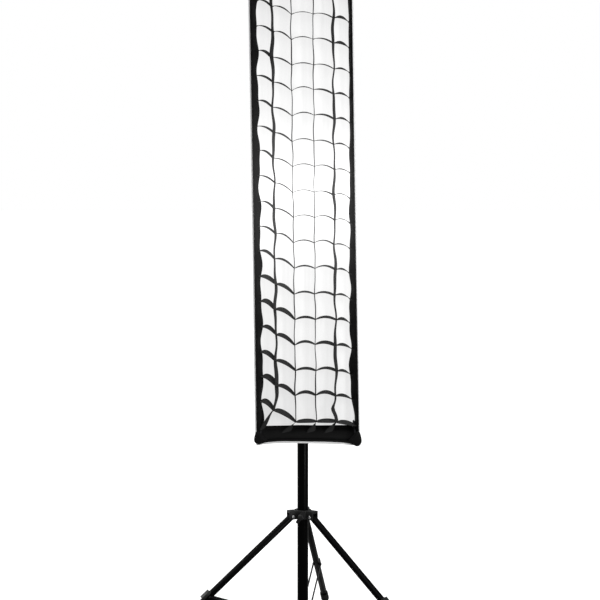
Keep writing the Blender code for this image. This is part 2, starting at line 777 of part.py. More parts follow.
def rods_and_holder(turn):
    """The rod holder with four sockets, the rods, and the corner pockets over their tips."""
    back = RING_FRONT - 2 * GAP - INSERT_FLANGE
    args = (0.076, INSERT_R + 3 * GAP, -0.194, back)
    holder = sleeve("rod_holder", *args, "black_metal", turn, 32, rotation=ALONG_Y)
    for number, (side_x, side_z) in enumerate(CORNERS, 1):
        foot_point, tip_point = rod_line(side_x, side_z)
        at = {"location": foot_point, "rotation": along(foot_point, tip_point)}
        boss = cylinder(f"socket_{number}", 0.0075, 0.0, 0.034, None, turn, 14, **at)
        hole = cylinder(f"socket_hole_{number}", ROD_R + GAP, 0.003, 0.05, None, turn, 12, **at)
        join(holder, boss)
        cut(holder, hole)
        reach = (tip_point - foot_point).length
        cylinder(f"rod_{number}", ROD_R, 0.0035, reach, "steel", turn, 12, **at)
        pocket(number, side_x, side_z, turn, at, reach)


def pocket(number, side_x, side_z, turn, rod_at, reach):
    """A sewn pocket over the front corner that takes the rod's tip."""
    outer_x, outer_z = POCKET_OUTER
    outline = [
        (outer_x - 0.038, outer_z - 0.003),
        (outer_x - 0.006, outer_z),
        (outer_x, outer_z - 0.006),
        (outer_x - 0.003, outer_z - 0.042),
        (outer_x - 0.020, outer_z - 0.036),
        (outer_x - 0.032, outer_z - 0.022),
    ]
    outline = [(side_x * x, side_z * z) for x, z in outline]
    made = facing_prism(
        f"corner_pocket_{number}", [outline], POCKET_FRONT, POCKET_BACK, "black_fabric", turn
    )
    name = f"pocket_hole_{number}"
    cut(made, cylinder(name, ROD_R + GAP, reach - 0.04, reach + GAP, None, turn, 12, **rod_at))


def shell_wall(name, corners, turn):
    """A fabric panel from four outer corners, grown inwards."""
    cage = bmesh.new()
    cage.faces.new([cage.verts.new(corner) for corner in corners])
    mesh = bpy.data.meshes.new(name)
    cage.to_mesh(mesh)
    cage.free()
    wall = solid(name, mesh, "black_fabric", turn)
    cloth = wall.modifiers.new("cloth", "SOLIDIFY")
    cloth.thickness = SHELL_THICK
    cloth.offset = -1.0


def shell(turn):
    """Two tall walls, and a top and a bottom wall that fit between them."""
    front_x, front_z = FRONT_HALF
    back_x, back_z = BACK_HALF
    inset = SHELL_THICK + 0.0004
    for name, side in (("wall_right", 1), ("wall_left", -1)):
        corners = [
            (side * front_x, SHELL_FRONT, -front_z),
            (side * back_x, SHELL_BACK, -back_z),
            (side * back_x, SHELL_BACK, back_z),
            (side * front_x, SHELL_FRONT, front_z),
        ]
        shell_wall(name, corners[::side], turn)
    for name, side in (("wall_top", 1), ("wall_bottom", -1)):
        corners = [
            (front_x - inset, SHELL_FRONT, side * front_z),
            (back_x - inset, SHELL_BACK, side * back_z),
            (inset - back_x, SHELL_BACK, side * back_z),
            (inset - front_x, SHELL_FRONT, side * front_z),
        ]
        shell_wall(name, corners[::side], turn)


def cut_corners(half_x, half_z, cut_off):
    """A rectangle's outline with its corners cut off."""
    return [
        (half_x - cut_off, half_z),
        (cut_off - half_x, half_z),
        (-half_x, half_z - cut_off),
        (-half_x, cut_off - half_z),
        (cut_off - half_x, -half_z),
        (half_x - cut_off, -half_z),
        (half_x, cut_off - half_z),
        (half_x, half_z - cut_off),
    ]


def panel(name, y, inset, turn):
    """A diffuser: a flat sheet across the shell, clear of its walls and of the rods."""
    half_x, half_z = shell_half(y)
    slope = math.hypot(FRONT_HALF[1] - BACK_HALF[1], SHELL_BACK - SHELL_FRONT)
    slope /= SHELL_BACK - SHELL_FRONT
    half_x -= SHELL_THICK + inset
    half_z -= SHELL_THICK * slope + inset + 0.003
    outline = cut_corners(half_x, half_z, CORNER_CUT)
    facing_prism(name, [outline], y, y + DIFFUSER_THICK, "white_fabric", turn)


def strip_sides(half, lines):
    """Both sides of every strip: one strip just inside each border, the others on their lines."""
    sides = [-half, GRID_STRIP - half]
    for line in lines:
        sides += [line - GRID_STRIP / 2, line + GRID_STRIP / 2]
    return sides + [half - GRID_STRIP, half]


def grid(turn):
    """The egg-crate grid: five columns of cells, one lattice of thin strips."""
    half_x, half_z = GRID_HALF
    across = strip_sides(half_x, [GRID_COLUMN * step for step in (-1.5, -0.5, 0.5, 1.5)])
    up = strip_sides(half_z, [GRID_LOW_ROW + GRID_ROW * step for step in range(GRID_ROWS)])
    last_x = len(across) - 1
    last_z = len(up) - 1
    cage = bmesh.new()
    bmesh.ops.create_grid(cage, x_segments=last_x, y_segments=last_z, size=0.5)

    def index(point):
        return math.floor((point.x + 0.5) * last_x + 0.01), math.floor((point.y + 0.5) * last_z + 0.01)

    # an odd column and an odd row of the lattice meet in an open cell
    cells = [f for f in cage.faces if all(i % 2 for i in index(f.calc_center_median()))]
    bmesh.ops.delete(cage, geom=cells, context="FACES")
    for vert in cage.verts:
        i, j = index(vert.co)
        x, z = across[i], up[j]
        if i in (0, 1, last_x - 1, last_x) and j in (0, 1, last_z - 1, last_z):
            x -= math.copysign(GRID_CORNER_IN, x)
            z -= math.copysign(GRID_CORNER_IN, z)
        vert.co = (x, z, 0)
    mesh = bpy.data.meshes.new("grid")
    cage.to_mesh(mesh)
    cage.free()
    made = solid("grid", mesh, "black_fabric", turn, (0, GRID_FRONT, 0), FACING)
    depth = made.modifiers.new("depth", "SOLIDIFY")
    depth.thickness = GRID_BACK - GRID_FRONT
    depth.offset = -1.0


def edge_binding(turn):
    """The pale binding sewn round the shell's front edge."""
    outer_x, outer_z = BINDING_OUTER
    inner_x, inner_z = (half + 0.0005 for half in FRONT_HALF)
    outer = [(outer_x, outer_z), (-outer_x, outer_z), (-outer_x, -outer_z), (outer_x, -outer_z)]
    inner = [(inner_x, inner_z), (-inner_x, inner_z), (-inner_x, -inner_z), (inner_x, -inner_z)]
    facing_prism("edge_binding", [outer, inner], BINDING_FRONT, BINDING_BACK, "binding", turn)


def softbox(head):
    mount_insert(head)
    turn = empty("softbox_turn", head, rotation=(0, BOX_LEAN, 0))
    rods_and_holder(turn)
    shell(turn)
    panel("front_diffuser", DIFFUSER_Y, 0.0015, turn)
    panel("inner_baffle", BAFFLE_Y, 0.012, turn)
    grid(turn)
    edge_binding(turn)


# ---------------------------------------------------------------- the whole object
for old in list(bpy.data.objects):
    bpy.data.objects.remove(old, do_unlink=True)
PARTS = collection("strip_softbox")
CUTTERS = collection("cutters")
FINISHES = make_materials()
mast = empty("mast", None, (MAST_X, MAST_Y, 0))
softbox(light_head(stand(mast)))
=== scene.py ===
"""Looks of the strip softbox: cloth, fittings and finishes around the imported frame.

The box's own pieces are drawn in the box's axes (X across, Y from the lit front to the back, Z up,
origin on the head's axis over the mast) and set into the frame by BOX.
"""

import json
import math
import random

import bmesh
import bpy
from mathutils import Matrix, Vector, noise


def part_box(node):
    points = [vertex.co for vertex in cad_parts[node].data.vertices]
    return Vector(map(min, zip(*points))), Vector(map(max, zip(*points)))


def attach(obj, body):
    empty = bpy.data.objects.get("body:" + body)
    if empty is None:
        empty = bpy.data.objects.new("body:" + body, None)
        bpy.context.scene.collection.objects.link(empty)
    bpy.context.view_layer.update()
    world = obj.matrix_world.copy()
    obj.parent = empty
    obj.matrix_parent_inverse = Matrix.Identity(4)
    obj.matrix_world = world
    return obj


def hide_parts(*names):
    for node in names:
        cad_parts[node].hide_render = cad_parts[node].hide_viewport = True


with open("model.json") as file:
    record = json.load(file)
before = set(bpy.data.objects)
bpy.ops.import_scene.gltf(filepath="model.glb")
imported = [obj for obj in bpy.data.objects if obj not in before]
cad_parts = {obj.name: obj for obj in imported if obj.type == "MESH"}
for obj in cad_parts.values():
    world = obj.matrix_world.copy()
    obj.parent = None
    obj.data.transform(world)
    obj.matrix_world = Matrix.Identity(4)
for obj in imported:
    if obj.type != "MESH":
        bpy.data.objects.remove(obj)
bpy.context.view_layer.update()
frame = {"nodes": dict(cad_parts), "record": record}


def middle(node):
    """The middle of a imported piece's box."""
    low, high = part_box(node)
    return (low + high) / 2


# ---------------------------------------------------------------- measures
MAST = middle("base_tube")
HEAD_Z = middle("housing").z
LEAN = math.radians(-0.92)  # how the box is set on its ring
BOX = Matrix.Translation((MAST.x, MAST.y, HEAD_Z)) @ Matrix.Rotation(LEAN, 4, "Y")

FRONT_Y = -0.578
BACK_Y = -0.186
FRONT_HALF = Vector((0.145, 0.695))  # half width and half height of the shell's outside in front
BACK_HALF = Vector((0.082, 0.082))
CLOTH = 0.0012
DIFFUSER_Y = -0.5535
HEM_Y = -0.5560
STITCH_PITCH = 0.0048
STITCH_SHARE = 0.72  # the rest of each pitch is the gap to the next stitch
THREAD_RADIUS = 0.00045
BAFFLE_Y = -0.3845
SAG = Vector((0.006, 0.009))  # how far the side and the end walls pull in between the rods
RIM_SAG = Vector((0.001, 0.008))  # and how far the rim does
RIM_SKEW = 0.022  # how far the low rim hangs askew, for each metre across,
RIM_SKEW_CENTRE = 0.055  # and how far left of the box's middle it stays in place
RIPPLE = 0.007  # size of the walls' tension creases
DEPTH_ROWS = 22  # rows of faces from the lip to the back
LIP_ROWS = 3  # and over the lip
SEAM_LENGTH = 0.73  # of a long seam
SEAM_STEPS = 40
CORNERS = ((1, 1), (-1, 1), (-1, -1), (1, -1))  # across and up, in the order of their numbers
CLOTH_GLOW = 0.24  # how far above and below the lamp the glow painted on the dark cloth reaches
GLOW_CENTRE = 0.06  # where the diffuser is brightest, above the head's axis

# grid
GRID_FRONT = -0.5782
GRID_BACK = -0.5568
GRID_CLOTH = 0.0009
COLUMN_X = (-0.085, -0.0312, 0.0295, 0.0868)
COLUMN_DRIFT = (0.0028, 0.0029, 0.006, 0.006)  # how far it stands over at the top, and back below
ROW = 0.0726
ROWS = 18
LOW_ROW = -0.633
RISE_TOP = (0.036, 0.0200, 0.0, 0.0, -0.0165, -0.031)  # where a row meets the rim and the columns,
RISE_LOW = (0.0605, 0.0345, 0.0, 0.0, 0.0, -0.012)  # over its middle, near the top and the bottom
ROW_ARCH = 0.0085
SLACK_Z = -0.597  # the last column hangs slack here, between its two lowest rows
LEAN_WAVES = (41, 73)  # radians per metre, of the border's lean
SWAYS = (0.147, 0.079)  # lengths of a column's waves,
TWIST_WAVE = 0.23  # and of its twist's
ROW_STEPS = 10  # faces along a row in each cell
COLUMN_STEPS = 160
TAIL_STEPS = 7
BORDER_STEPS = (150, 20)  # up and across
ROLL_LOW = (0.0105, 0.0095, 0.0048, 0.0056, 0.0055)  # a row's back edge over its front, in each
ROLL_MID = (0.0015, 0.001, 0.001, 0.001, 0.0015)  # cell across, low, at the middle and at the top
ROLL_TOP = (0.004, 0.0035, 0.004, 0.004, 0.008)
TWIST_LOW = (0.010, 0.003, 0.003, 0.0085)  # a column's back edge beside its front edge
TWIST_MID = (0.0055, 0.0015, 0.0015, 0.006)
TWIST_TOP = (0.011, 0.003, 0.003, 0.007)


def depth_share(y):
    """0 at the rim and 1 at the back."""
    return (y - FRONT_Y) / (BACK_Y - FRONT_Y)


def shell_half(y):
    """Half width and half height of the shell's outside at a depth."""
    return FRONT_HALF.lerp(BACK_HALF, depth_share(y))


def placed(point):
    """A box point set into the frame; in front the low rim hangs askew, lower on its right."""
    low = smooth(-point.z, 0.60, FRONT_HALF.y) * smooth(-point.y, 0.53, -FRONT_Y)
    drop = RIM_SKEW * (point.x + RIM_SKEW_CENTRE) * low
    return BOX @ Vector((point.x, point.y, point.z - drop))


def through(low, mid, top, v):
    """A value that passes low, mid and top as v goes from -1 to 1."""
    return mid + (top - low) / 2 * v + ((top + low) / 2 - mid) * v * v


def smooth(value, start, end):
    """0 before start and 1 past end, with an easy passage between them."""
    t = min(1.0, max(0.0, (value - start) / (end - start)))
    return t * t * (3 - 2 * t)


# ---------------------------------------------------------------- materials
class Nodes:
    """A material's node tree, with short calls for the nodes it takes."""

    def __init__(self, name, **values):
        self.material = bpy.data.materials.new(name)
        self.material.use_nodes = True
        self.tree = self.material.node_tree
        self.shader = self.tree.nodes["Principled BSDF"]
        for socket, value in values.items():
            self.shader.inputs[socket.replace("_", " ")].default_value = value
        self.place = self.add("ShaderNodeTexCoord").outputs["Object"]

    def add(self, kind, inputs=(), **settings):
        node = self.tree.nodes.new(kind)
        for name, value in settings.items():
            setattr(node, name, value)
        for socket, value in dict(inputs).items():
            if isinstance(value, bpy.types.NodeSocket):
                self.tree.links.new(value, node.inputs[socket])
            else:
                node.inputs[socket].default_value = value
        return node

    def link(self, output, socket):
        self.tree.links.new(output, self.shader.inputs[socket])

    def math(self, operation, a, b=0.0, c=0.0):
        return self.add("ShaderNodeMath", {0: a, 1: b, 2: c}, operation=operation).outputs[0]

    def scaled(self, scale):
        """Object space stretched by a scale for each axis."""
        return self.add("ShaderNodeMapping", {"Vector": self.place, "Scale": scale}).outputs[0]

    def noise(self, scale, detail=3.0, vector=None, roughness=0.5):
        inputs = {"Vector": vector or self.place, "Scale": scale, "Detail": detail}
        return self.add("ShaderNodeTexNoise", {**inputs, "Roughness": roughness}).outputs["Fac"]

    def spread(self, value, low, high):
        """A noise's usual range, 0.3 to 0.7, mapped to low..high and kept there."""
        inputs = {"Value": value, "From Min": 0.3, "From Max": 0.7, "To Min": low, "To Max": high}
        return self.add("ShaderNodeMapRange", inputs).outputs[0]

    def colours(self, value, first, second):
        ramp = self.add("ShaderNodeValToRGB", {"Fac": value})
        for stop, colour in zip(ramp.color_ramp.elements, (first, second)):
            stop.color = (*colour, 1.0)
        return ramp.outputs[0]

    def bump(self, height, distance, strength, under=None):
        """A normal raised by height, on top of another bump if one is given."""
        inputs = {"Height": height, "Distance": distance, "Strength": strength}
        if under is not None:
            inputs["Normal"] = under
        return self.add("ShaderNodeBump", inputs).outputs[0]


def grey(value, blue=0.0):
    """A grey, which blue makes a little cooler."""
    return (value, value, value + blue)


def weave(nodes, pitch):
    """Height of a plain weave: threads over and under each other, pitch metres apart."""
    turns = math.tau / pitch
    x, y, z = nodes.add("ShaderNodeSeparateXYZ", {0: nodes.place}).outputs[:3]
    across = nodes.math("SINE", nodes.math("MULTIPLY", nodes.math("ADD", x, y), turns))
    up = nodes.math("SINE", nodes.math("MULTIPLY", nodes.math("SUBTRACT", z, y), turns))
    return nodes.math("MULTIPLY", across, up)


def painted(name, dark, light, roughness, grain=900.0):
    """Satin powder coat: orange peel, slight cloudiness, and a few rubbed patches."""
    nodes = Nodes(name, Metallic=0.0, Specular_IOR_Level=0.035)
    first, second = grey(dark, dark * 0.12), grey(light, light * 0.12)
    nodes.link(nodes.colours(nodes.noise(9.0, 5.0), first, second), "Base Color")
    rub = nodes.noise(60.0, 6.0, nodes.scaled((1.0, 1.0, 0.25)), 0.65)
    nodes.link(nodes.spread(rub, roughness + 0.08, roughness - 0.08), "Roughness")
    nodes.link(nodes.bump(nodes.noise(grain, 2.0), 0.00006, 0.5), "Normal")
    return nodes.material


def moulded(name, dark, light, roughness, grain=1400.0):
    """Moulded plastic or rubber with a fine spark-eroded grain and a cloudy tone."""
    nodes = Nodes(name, Specular_IOR_Level=0.2)
    cloud = nodes.noise(14.0, 4.0)
    nodes.link(nodes.colours(cloud, grey(dark), grey(light)), "Base Color")
    nodes.link(nodes.spread(nodes.noise(40.0), roughness - 0.06, roughness + 0.08), "Roughness")
    fine = nodes.add("ShaderNodeTexVoronoi", {"Vector": nodes.place, "Scale": grain}).outputs[0]
    nodes.link(nodes.bump(fine, 0.00008, 0.6), "Normal")
    return nodes.material


def metal(name, colour, roughness):
    """Bright metal with the fine rings of its turning."""
    nodes = Nodes(name, Metallic=1.0)
    lines = nodes.noise(30.0, 6.0, nodes.scaled((3.0, 60.0, 3.0)))
    nodes.link(nodes.colours(lines, grey(colour * 0.93), grey(colour)), "Base Color")
    nodes.link(nodes.spread(lines, roughness - 0.03, roughness + 0.05), "Roughness")
    nodes.link(nodes.bump(lines, 0.00001, 0.3), "Normal")
    return nodes.material


def near_lamp(nodes, spread):
    """1 at the lamp's height, falling off smoothly over a spread above and below it."""
    z = nodes.add("ShaderNodeSeparateXYZ", {0: nodes.place}).outputs[2]
    z = nodes.math("SUBTRACT", z, HEAD_Z)
    square = nodes.math("MULTIPLY", z, z)
    return nodes.math("EXPONENT", nodes.math("MULTIPLY", square, -1.0 / spread**2))


def cloth(name, dark, light, roughness, pitch, depth, wrinkle, sheen=0.0, lit=0.0):
    """Woven cloth: threads, slubs, shallow creases, a soft sheen, and, when lit is given, a
    painted glow near the lamp's height in place of light let through.
    """
    nodes = Nodes(name, Specular_IOR_Level=0.1, Sheen_Weight=sheen, Sheen_Roughness=0.6)
    slub = nodes.noise(180.0, 3.0, nodes.scaled((1.0, 1.0, 6.0)))
    nodes.link(nodes.colours(slub, grey(dark), grey(light)), "Base Color")
    nodes.link(nodes.spread(nodes.noise(25.0), roughness - 0.07, roughness + 0.07), "Roughness")
    crease = nodes.bump(nodes.noise(11.0, 4.0, nodes.scaled((1.4, 1.0, 0.5))), wrinkle, 0.6)
    nodes.link(nodes.bump(weave(nodes, pitch), depth, 0.8, crease), "Normal")
    # painted glow: emission on the dark cloth, strongest at the lamp's height, standing in for
    # lamp light coming through it
    if lit:
        nodes.shader.inputs["Emission Color"].default_value = (1.0, 1.0, 1.0, 1.0)
        nodes.link(nodes.math("MULTIPLY", near_lamp(nodes, CLOTH_GLOW), lit), "Emission Strength")
    return nodes.material


def silver(name):
    """The shell's lining: silver coated cloth with a fine dimple."""
    nodes = Nodes(name, Metallic=0.85)
    nodes.link(nodes.colours(nodes.noise(120.0), grey(0.55), grey(0.72)), "Base Color")
    nodes.link(nodes.spread(nodes.noise(30.0), 0.32, 0.48), "Roughness")
    crease = nodes.bump(nodes.noise(14.0, 4.0), 0.002, 0.6)
    dimple = nodes.add("ShaderNodeTexVoronoi", {"Vector": nodes.place, "Scale": 260.0}).outputs[0]
    nodes.link(nodes.bump(dimple, 0.0004, 0.5, crease), "Normal")
    return nodes.material


def glowing(name, peak, spread, base, fall, side_fall):
    """White nylon lit from behind: brightest over the lamp, weaker to the ends and edges."""
    nodes = Nodes(name, Roughness=0.75, Specular_IOR_Level=0.2, Sheen_Weight=0.05)
    x, _, z = nodes.add("ShaderNodeSeparateXYZ", {0: nodes.place}).outputs[:3]
    x = nodes.math("SUBTRACT", x, MAST.x)
    z = nodes.math("SUBTRACT", z, HEAD_Z)
    core = near_lamp(nodes, spread)
    above = nodes.math("SUBTRACT", z, GLOW_CENTRE)
    square = nodes.math("MULTIPLY", above, above)
    light = nodes.math("MULTIPLY_ADD", core, peak, base)
    light = nodes.math("MULTIPLY_ADD", square, -fall, light)
    to_left = nodes.math("MAXIMUM", nodes.math("MULTIPLY", x, -1.0), 0.0)
    light = nodes.math("MULTIPLY_ADD", nodes.math("MULTIPLY", to_left, square), -side_fall, light)
    streak = nodes.noise(1.0, 3.0, nodes.scaled((150.0, 1.0, 4.0)))
    light = nodes.math("MULTIPLY", light, nodes.spread(streak, 0.965, 1.02))
    thread = nodes.noise(900.0, 1.0, nodes.scaled((1.0, 1.0, 0.2)))
    light = nodes.math("MULTIPLY", light, nodes.spread(thread, 0.985, 1.01))
    nodes.link(nodes.colours(thread, grey(0.15), grey(0.18)), "Base Color")
    nodes.shader.inputs["Emission Color"].default_value = (1.0, 1.0, 1.0, 1.0)
    nodes.link(light, "Emission Strength")
    crease = nodes.bump(nodes.noise(8.0, 3.0, nodes.scaled((2.0, 1.0, 0.6))), 0.002, 0.5)
    nodes.link(nodes.bump(weave(nodes, 0.0009), 0.0001, 0.5, crease), "Normal")
    return nodes.material


def glass(name):
    """Clear glass with faint smears."""
    nodes = Nodes(name, Transmission_Weight=1.0, IOR=1.47)
    nodes.link(nodes.colours(nodes.noise(30.0), grey(0.93), grey(0.99)), "Base Color")
    nodes.link(nodes.spread(nodes.noise(80.0), 0.02, 0.09), "Roughness")
    return nodes.material


def lamp(name):
    """A frosted lamp that glows."""
    nodes = Nodes(name, Roughness=0.4)
    nodes.link(nodes.colours(nodes.noise(200.0), grey(0.8), grey(0.92)), "Base Color")
    nodes.shader.inputs["Emission Color"].default_value = (1.0, 0.97, 0.92, 1.0)
    nodes.shader.inputs["Emission Strength"].default_value = 2.0
    return nodes.material


FINISH = {
    "black_tube": painted("satin_black_tube", 0.0004, 0.0009, 0.3),
    "dark_metal": painted("satin_dark_metal", 0.003, 0.006, 0.4),
    "housing_paint": painted("textured_housing", 0.022, 0.03, 0.5, 500.0),
    "black_plastic": moulded("moulded_black", 0.004, 0.008, 0.5),
    "rubber": moulded("black_rubber", 0.006, 0.010, 0.75, 700.0),
    "bright_steel": metal("turned_steel", 0.62, 0.28),
    "rod_steel": painted("coated_rod", 0.014, 0.02, 0.38),
    "lamp_ceramic": moulded("glazed_ceramic", 0.74, 0.8, 0.3, 200.0),
    "lamp_glass": glass("clear_glass"),
    "lamp_tube": lamp("frosted_lamp"),
    "black_fabric": cloth("black_nylon", 0.002, 0.004, 0.8, 0.0011, 0.00012, 0.0012),
    "diffuser_fabric": glowing("lit_diffuser", 0.45, 0.13, 0.91, 0.44, 0.9),
    "binding_fabric": cloth("pale_tape", 0.66, 0.76, 0.8, 0.0016, 0.0002, 0.0004),
}
# the grid's cloth and the webbing of the lip band and the grid's border carry a painted glow near
# the lamp's height; that webbing is a glowing copy of the black webbing
GRID_CLOTH_FINISH = cloth("grid_nylon_painted_glow", 0.011, 0.019, 0.8, 0.0011, 0.0001, 0.0006, lit=0.06)
WEBBING_PAINTED_GLOW = cloth("webbing_painted_glow", 0.0006, 0.0018, 0.75, 0.0022, 0.0003, 0.0004, lit=0.022)
WEBBING = cloth("black_webbing", 0.0006, 0.0018, 0.75, 0.0022, 0.0003, 0.0004)
SHELL_CLOTH = cloth("shell_nylon", 0.009, 0.014, 0.55, 0.0011, 0.0002, 0.003, 0.12)
SILVER = silver("silver_lining")
BAFFLE = glowing("lit_baffle", 1.2, 0.15, 0.7, 0.4, 0.0)
THREAD = moulded("dark_thread", 0.035, 0.05, 0.7, 2500.0)
COLLECTION = bpy.context.scene.collection


# ---------------------------------------------------------------- mesh building
def object_from(name, cage, finishes):
    """An object from a bmesh drawn in world space, shaded smooth and riding on the box."""
    mesh = bpy.data.meshes.new(name)
    bmesh.ops.recalc_face_normals(cage, faces=cage.faces)
    cage.to_mesh(mesh)
    cage.free()
    mesh.shade_smooth()
    for finish in finishes:
        mesh.materials.append(finish)
    made = bpy.data.objects.new(name, mesh)
    COLLECTION.objects.link(made)
    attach(made, "strip_box")
    return made


def net(cage, rows, closed=False, index=None):
    """Quads between equal rows of points; index gives a quad's material from its row."""
    made = [[cage.verts.new(point) for point in row] for row in rows]
    for i, (first, second) in enumerate(zip(made, made[1:])):
        count = len(first)
        for j in range(count if closed else count - 1):
            k = (j + 1) % count
            face = cage.faces.new((first[j], first[k], second[k], second[j]))
            if index:
                face.material_index = index(i)
    return made


def thicken(obj, thickness, offset=0.0, other_finish=0):
    """Gives a sheet its thickness; its far side takes the finish that many slots on."""
    solid = obj.modifiers.new("cloth", "SOLIDIFY")
    solid.thickness = thickness
    solid.offset = offset
    solid.material_offset = other_finish


def tube_rows(path, section):
    """Rings of a section (side, up) carried along a path, with its frame kept from twisting."""
    rows = []
    count = len(path)
    side = None
    for i, point in enumerate(path):
        ahead = (path[min(i + 1, count - 1)] - path[max(i - 1, 0)]).normalized()
        if side is None:
            side = ahead.orthogonal().normalized()
        side = (side - ahead * side.dot(ahead)).normalized()
        up = ahead.cross(side)
        rows.append([point + side * a + up * b for a, b in section])
    return rows


def oval(width, height, count):
    """An oval section of count points, for rod."""
    turn = [math.tau * i / count for i in range(count)]
    return [(width / 2 * math.cos(a), height / 2 * math.sin(a)) for a in turn]


def rod(cage, path, section):
    """A closed tube along a path."""
    rings = net(cage, tube_rows(path, section), closed=True)
    for ring in (rings[0], rings[-1]):
        cage.faces.new(ring)


# ---------------------------------------------------------------- shell
def bow(y, s, ends):
    """How far the rim and the walls pull in between the corners, s from -1 to 1 along the edge."""
    share = depth_share(y)
    deep = 4 * share * (1 - share)
    rim = max(0.0, 1 - 20 * share)
    if ends:
        return (1 - s * s) * SAG.y * deep + (1 - s**4) * (1 - 0.15 * s) * RIM_SAG.y * rim
    return (1 - s * s) ** 2 * (SAG.x * deep + RIM_SAG.x * rim)


def ripple(point):
    """Soft tension creases of the shell's cloth."""
    sample = Vector((point.x * 9.0, point.y * 16.0, point.z * 5.0))
    return RIPPLE * noise.fractal(sample, 0.8, 2.0, 3)


def calm(s, y):
    """1 in a wall's middle and 0 on its edges, where the cloth is held."""
    return (1 - s * s) * (1 - abs(2 * depth_share(y) - 1) ** 2)


def side_wall(side, s, y, inset=0.0):
    """A point of the left or the right wall; s runs up it."""
    half = shell_half(y)
    point = Vector((side * (half.x - bow(y, s, False) - inset), y, s * (half.y - inset)))
    point.x += ripple(point) * calm(s, y)
    return point


def end_wall(side, s, y, inset=0.0):
    """A point of the top or the bottom wall; s runs across it."""
    half = shell_half(y)
    point = Vector((s * (half.x - inset), y, side * (half.y - bow(y, s, True) - inset)))
    point.z += ripple(point) * calm(s, y)
    return point


def depths():
    """Depths from the rim to the back, the rim's lip having rows of its own."""
    lip = DIFFUSER_Y + 0.001
    steps = [FRONT_Y + (lip - FRONT_Y) * i / LIP_ROWS for i in range(LIP_ROWS + 1)]
    return steps + [lip + (BACK_Y - lip) * i / DEPTH_ROWS for i in range(1, DEPTH_ROWS + 1)]


def wall(name, draw, side, along):
    """One panel of the shell: black outside, black in the rim's lip and silver behind it."""
    cage = bmesh.new()
    steps = [2 * j / along - 1 for j in range(along + 1)]
    rows = [[placed(draw(side, s, y)) for s in steps] for y in depths()]
    net(cage, rows, index=lambda row: 0 if row < LIP_ROWS else 2)
    # each outer finish is followed by its inner one: the lip's, then the rest's
    finishes = [FINISH["black_fabric"], FINISH["black_fabric"], SHELL_CLOTH, SILVER]
    made = object_from(name + "_cloth", cage, finishes)
    outward = Vector((side, 0, 0)) if draw is side_wall else Vector((0, 0, side))
    if made.data.polygons[0].normal.dot(outward) < 0:
        made.data.flip_normals()
    thicken(made, CLOTH, -1.0, 1)
    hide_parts(name)
    return made


def shell():
    """The four panels: the two side walls and the two end walls."""
    for name, side in (("wall_right", 1), ("wall_left", -1)):
        made = wall(name, side_wall, side, 90)
    for name, side in (("wall_top", 1), ("wall_bottom", -1)):
        made = wall(name, end_wall, side, 26)


def corner_seams():
    """A welt over each long seam, where a side wall and an end wall are sewn together."""
    proud = 0.0006
    for number, (side_x, side_z) in enumerate(CORNERS, 1):
        cage = bmesh.new()
        path = []
        for i in range(SEAM_STEPS + 1):
            y = FRONT_Y + 0.004 + (BACK_Y - FRONT_Y - 0.006) * i / SEAM_STEPS
            half = shell_half(y)
            corner = Vector((side_x * (half.x + proud), y, side_z * (half.y + proud)))
            path.append(placed(corner))
        rod(cage, path, oval(0.0042, 0.0036, 8))
        made = object_from(f"corner_seam_{number}", cage, [WEBBING])


def stitched(cage, path):
    """Small raised stitches, end to end along a path that lies on the cloth's outside."""
    for start, end in zip(path, path[1:]):
        along = (end - start) * STITCH_SHARE
        side = along.orthogonal().normalized() * THREAD_RADIUS
        up = along.normalized().cross(side)
        ring = [side * math.cos(a) + up * math.sin(a) for a in (0.0, 1.571, 3.142, 4.712)]
        tips = [cage.verts.new(start), cage.verts.new(start + along)]
        rings = [[cage.verts.new(start + along * t + r) for r in ring] for t in (0.2, 0.8)]
        for j in range(4):
            k = (j + 1) % 4
            cage.faces.new((tips[0], rings[0][j], rings[0][k]))
            cage.faces.new((rings[0][j], rings[1][j], rings[1][k], rings[0][k]))
            cage.faces.new((tips[1], rings[1][k], rings[1][j]))


def shell_stitching():
    """Stitches beside each long seam, on both of its panels, and one row round the rim's hem."""
    cage = bmesh.new()
    proud = -0.0003  # an inset that lifts the thread off the cloth
    beside = 0.0065
    seam_count = round(SEAM_LENGTH / STITCH_PITCH)
    for side_x in (1, -1):
        for side_z in (1, -1):
            on_side, on_end = [], []
            for i in range(seam_count + 1):
                y = FRONT_Y + 0.026 + (BACK_Y - FRONT_Y - 0.032) * i / seam_count
                half = shell_half(y)
                on_side.append(placed(side_wall(side_x, side_z * (1 - beside / half.y), y, proud)))
                on_end.append(placed(end_wall(side_z, side_x * (1 - beside / half.x), y, proud)))
            stitched(cage, on_side)
            stitched(cage, on_end)
    for draw, half, reach in ((side_wall, FRONT_HALF.y, 0.985), (end_wall, FRONT_HALF.x, 0.955)):
        count = round(2 * half / STITCH_PITCH)
        line = [reach * (2 * i / count - 1) for i in range(count + 1)]
        for side in (1, -1):
            stitched(cage, [placed(draw(side, s, HEM_Y, proud)) for s in line])
    made = object_from("shell_stitching", cage, [THREAD])


# ---------------------------------------------------------------- rim
def rim_path(y, inset, across_share=1.0):
    """The rim's outline at a depth, inset from the shell's outside, as a closed loop of points."""
    loop = []
    up, across = 60, 18
    for side in (1, -1):
        for i in range(up):
            s = side * (2 * i / up - 1)
            loop.append(side_wall(side, s * 0.992, y, inset))
        for i in range(across):
            s = side * (1 - 2 * i / across)
            loop.append(end_wall(side, s * 0.965, y, inset * across_share))
    return loop


